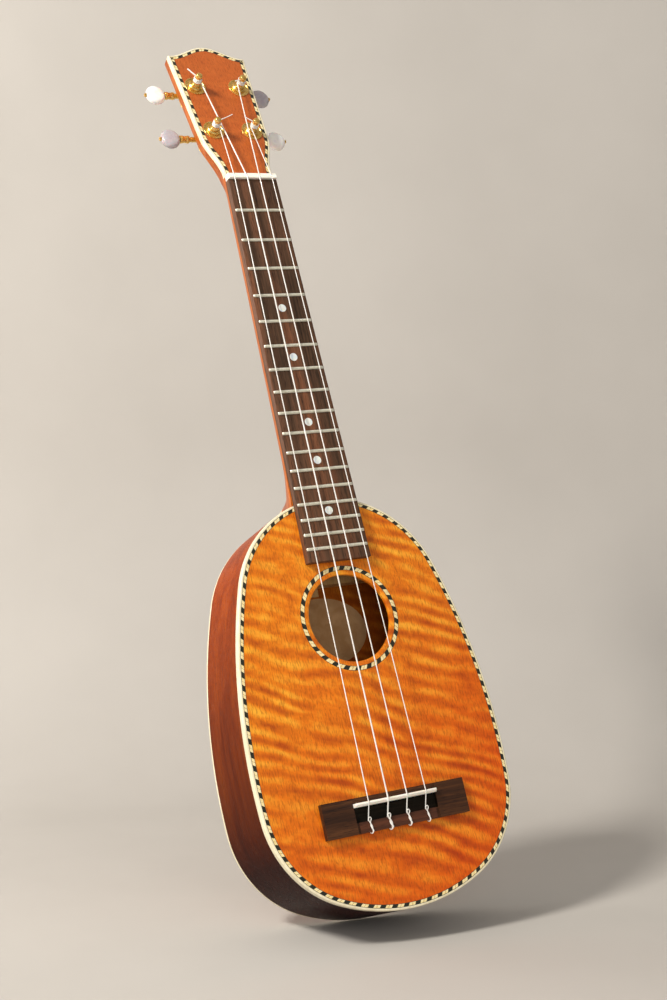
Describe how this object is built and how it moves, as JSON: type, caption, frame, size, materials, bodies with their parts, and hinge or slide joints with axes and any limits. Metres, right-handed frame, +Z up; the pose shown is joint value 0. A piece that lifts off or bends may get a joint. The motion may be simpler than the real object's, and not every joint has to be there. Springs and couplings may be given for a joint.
{
  "type": "ukulele",
  "caption": "Pineapple-shaped wooden ukulele with fretted neck, tied bridge and tilted headstock whose geared buttons turn the string posts.",
  "frame": {"origin": "on the flat back, on the centre line, level with the widest part of the body", "axes": "+X to the right seen from the front, +Y out through the back, +Z up the neck; the soundboard is normal to Y and the back leans 2.86 degrees from it"},
  "size_m": [0.1594, 0.0673, 0.5553],
  "materials": {
    "figured_wood": "gloss",
    "dark_wood": "gloss",
    "neck_wood": "satin",
    "head_wood": "gloss",
    "plain_wood": "raw",
    "rosewood": "satin",
    "cream_binding": "gloss",
    "rope_inlay": "gloss",
    "bone": "polished",
    "pearl": "pearl",
    "gold": "polished gold plate",
    "nickel": "polished",
    "string": "clear fluorocarbon",
    "paper": "matte paper"
  },
  "bodies": {
    "root": {"soundboard": "figured_wood", "back": "dark_wood", "side_left": "dark_wood", "side_right": "dark_wood", "neck_block": "plain_wood", "tail_block": "plain_wood", "linings": "plain_wood", "soundboard_braces": "plain_wood", "bridge_plate": "dark_wood", "back_braces": "plain_wood", "back_strip": "plain_wood", "top_binding": "cream_binding", "back_binding": "cream_binding", "top_purfling": "rope_inlay", "rosette": "rope_inlay", "label": "paper", "bridge": "rosewood", "saddle": "bone", "neck": "neck_wood", "heel_cap": "cream_binding", "fretboard": "rosewood", "frets": "nickel", "position_dots": "pearl", "nut": "bone", "headplate": "head_wood", "head_binding": "cream_binding", "head_purfling": "rope_inlay", "strings": "string", "tuner_plates": "gold", "tuner_bushings": "gold", "tuner_washers": "gold", "plate_screws": "gold"},
    "post_lower_left": {"post_lower_left": "gold", "wheel_lower_left": "gold", "wheel_screw_lower_left": "gold", "winding_lower_left": "string"},
    "knob_lower_left": {"worm_shaft_lower_left": "gold", "button_lower_left": "pearl", "button_screw_lower_left": "gold"},
    "post_upper_left": {"post_upper_left": "gold", "wheel_upper_left": "gold", "wheel_screw_upper_left": "gold", "winding_upper_left": "string"},
    "knob_upper_left": {"worm_shaft_upper_left": "gold", "button_upper_left": "pearl", "button_screw_upper_left": "gold"},
    "post_upper_right": {"post_upper_right": "gold", "wheel_upper_right": "gold", "wheel_screw_upper_right": "gold", "winding_upper_right": "string"},
    "knob_upper_right": {"worm_shaft_upper_right": "gold", "button_upper_right": "pearl", "button_screw_upper_right": "gold"},
    "post_lower_right": {"post_lower_right": "gold", "wheel_lower_right": "gold", "wheel_screw_lower_right": "gold", "winding_lower_right": "string"},
    "knob_lower_right": {"worm_shaft_lower_right": "gold", "button_lower_right": "pearl", "button_screw_lower_right": "gold"}
  },
  "joints": [
    {"name": "knob_turn_lower_left", "type": "hinge", "parent": "root", "child": "knob_lower_left", "pos_m": [-0.0131, -0.03313, 0.40152], "axis": [1, 0, 0], "continuous": true},
    {"name": "post_turn_lower_left", "type": "hinge", "parent": "root", "child": "post_lower_left", "pos_m": [-0.0131, -0.03857, 0.39729], "axis": [0, -0.9767, 0.2147], "continuous": true},
    {"name": "knob_turn_upper_left", "type": "hinge", "parent": "root", "child": "knob_upper_left", "pos_m": [-0.0151, -0.02519, 0.43766], "axis": [1, 0, 0], "continuous": true},
    {"name": "post_turn_upper_left", "type": "hinge", "parent": "root", "child": "post_upper_left", "pos_m": [-0.0151, -0.03062, 0.43342], "axis": [0, -0.9767, 0.2147], "continuous": true},
    {"name": "knob_turn_upper_right", "type": "hinge", "parent": "root", "child": "knob_upper_right", "pos_m": [0.0151, -0.02519, 0.43766], "axis": [1, 0, 0], "continuous": true},
    {"name": "post_turn_upper_right", "type": "hinge", "parent": "root", "child": "post_upper_right", "pos_m": [0.0151, -0.03062, 0.43342], "axis": [0, -0.9767, 0.2147], "continuous": true},
    {"name": "knob_turn_lower_right", "type": "hinge", "parent": "root", "child": "knob_lower_right", "pos_m": [0.0131, -0.03313, 0.40152], "axis": [1, 0, 0], "continuous": true},
    {"name": "post_turn_lower_right", "type": "hinge", "parent": "root", "child": "post_lower_right", "pos_m": [0.0131, -0.03857, 0.39729], "axis": [0, -0.9767, 0.2147], "continuous": true}
  ],
  "couplings": [
    {"joint": "post_turn_lower_left", "follows": "knob_turn_lower_left", "ratio": 0.071429},
    {"joint": "post_turn_upper_left", "follows": "knob_turn_upper_left", "ratio": 0.071429},
    {"joint": "post_turn_upper_right", "follows": "knob_turn_upper_right", "ratio": 0.071429},
    {"joint": "post_turn_lower_right", "follows": "knob_turn_lower_right", "ratio": 0.071429}
  ]
}
